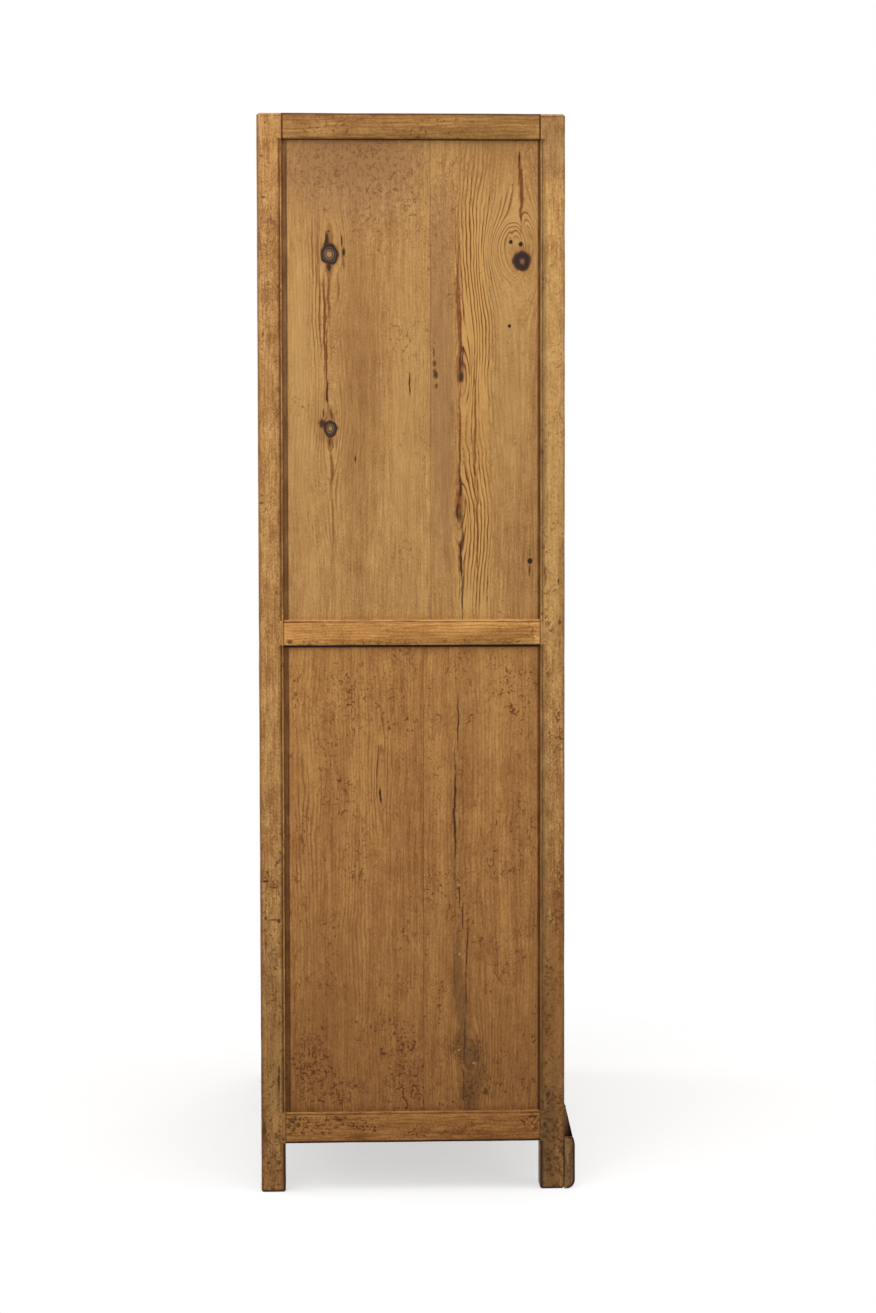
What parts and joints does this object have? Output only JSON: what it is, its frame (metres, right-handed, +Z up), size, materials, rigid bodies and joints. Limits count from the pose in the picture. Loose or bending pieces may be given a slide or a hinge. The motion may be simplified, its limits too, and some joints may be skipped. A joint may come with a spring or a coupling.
{
  "type": "cabinet",
  "caption": "Tall Chinese frame-and-panel softwood cabinet with tiered pivot-hung doors, shelves, round brass plates with drop pulls, a cusped apron and bulging front feet.",
  "frame": {"origin": "on the floor, at the middle of the footprint of posts and front feet", "axes": "+Z up, -Y towards the front with the doors, +X to the right seen from the front"},
  "size_m": [1.06, 0.5524, 1.88],
  "materials": {
    "case_wood": "waxed, worn",
    "panel_wood": "waxed, worn",
    "door_wood": "waxed, worn",
    "inner_wood": "bare, planed",
    "brass": "aged"
  },
  "bodies": {
    "case": {"front_left_post": "case_wood", "front_right_post": "case_wood", "back_left_post": "case_wood", "back_right_post": "case_wood", "left_bottom_rail": "case_wood", "right_bottom_rail": "case_wood", "front_bottom_rail": "case_wood", "back_bottom_rail": "case_wood", "left_mid_rail": "case_wood", "right_mid_rail": "case_wood", "front_mid_rail": "case_wood", "back_mid_rail": "case_wood", "left_top_rail": "case_wood", "right_top_rail": "case_wood", "front_top_rail": "case_wood", "back_top_rail": "case_wood", "left_upper_panel": "panel_wood", "right_upper_panel": "panel_wood", "back_upper_panel": "panel_wood", "left_lower_panel": "panel_wood", "right_lower_panel": "panel_wood", "back_lower_panel": "panel_wood", "top_panel": "inner_wood", "mid_floor": "inner_wood", "bottom_floor": "inner_wood", "cross_battens": "inner_wood", "upper_shelf": "inner_wood", "lower_shelf": "inner_wood", "shelf_bearers": "inner_wood", "left_front_foot": "case_wood", "right_front_foot": "case_wood", "front_apron": "case_wood"},
    "upper_left_door": {"upper_left_hinge_stile": "door_wood", "upper_left_meeting_stile": "door_wood", "upper_left_door_top_rail": "door_wood", "upper_left_door_bottom_rail": "door_wood", "upper_left_door_panel": "panel_wood", "upper_left_plate": "brass"},
    "upper_right_door": {"upper_right_hinge_stile": "door_wood", "upper_right_meeting_stile": "door_wood", "upper_right_door_top_rail": "door_wood", "upper_right_door_bottom_rail": "door_wood", "upper_right_door_panel": "panel_wood", "upper_right_plate": "brass"},
    "lower_left_door": {"lower_left_hinge_stile": "door_wood", "lower_left_meeting_stile": "door_wood", "lower_left_door_top_rail": "door_wood", "lower_left_door_bottom_rail": "door_wood", "lower_left_door_panel": "panel_wood", "lower_left_plate": "brass"},
    "lower_right_door": {"lower_right_hinge_stile": "door_wood", "lower_right_meeting_stile": "door_wood", "lower_right_door_top_rail": "door_wood", "lower_right_door_bottom_rail": "door_wood", "lower_right_door_panel": "panel_wood", "lower_right_plate": "brass"},
    "upper_left_drop": {"upper_left_pull": "brass"},
    "upper_right_drop": {"upper_right_pull": "brass"},
    "lower_left_drop": {"lower_left_pull": "brass"},
    "lower_right_drop": {"lower_right_pull": "brass"}
  },
  "joints": [
    {"name": "upper_left_door_swing", "type": "hinge", "parent": "case", "child": "upper_left_door", "pos_m": [-0.471, -0.2428, 0], "axis": [0, 0, -1], "range_deg": [0, 95]},
    {"name": "upper_right_door_swing", "type": "hinge", "parent": "case", "child": "upper_right_door", "pos_m": [0.471, -0.2428, 0], "axis": [0, 0, 1], "range_deg": [0, 95]},
    {"name": "lower_left_door_swing", "type": "hinge", "parent": "case", "child": "lower_left_door", "pos_m": [-0.471, -0.2428, 0], "axis": [0, 0, -1], "range_deg": [0, 95]},
    {"name": "lower_right_door_swing", "type": "hinge", "parent": "case", "child": "lower_right_door", "pos_m": [0.471, -0.2428, 0], "axis": [0, 0, 1], "range_deg": [0, 95]},
    {"name": "upper_left_pull_swing", "type": "hinge", "parent": "upper_left_door", "child": "upper_left_drop", "pos_m": [-0.028, -0.2663, 1.35463], "axis": [-1, 0, 0], "range_deg": [0, 100]},
    {"name": "upper_right_pull_swing", "type": "hinge", "parent": "upper_right_door", "child": "upper_right_drop", "pos_m": [0.028, -0.2663, 1.35463], "axis": [-1, 0, 0], "range_deg": [0, 100]},
    {"name": "lower_left_pull_swing", "type": "hinge", "parent": "lower_left_door", "child": "lower_left_drop", "pos_m": [-0.028, -0.2663, 0.66952], "axis": [-1, 0, 0], "range_deg": [0, 100]},
    {"name": "lower_right_pull_swing", "type": "hinge", "parent": "lower_right_door", "child": "lower_right_drop", "pos_m": [0.028, -0.2663, 0.66952], "axis": [-1, 0, 0], "range_deg": [0, 100]}
  ]
}
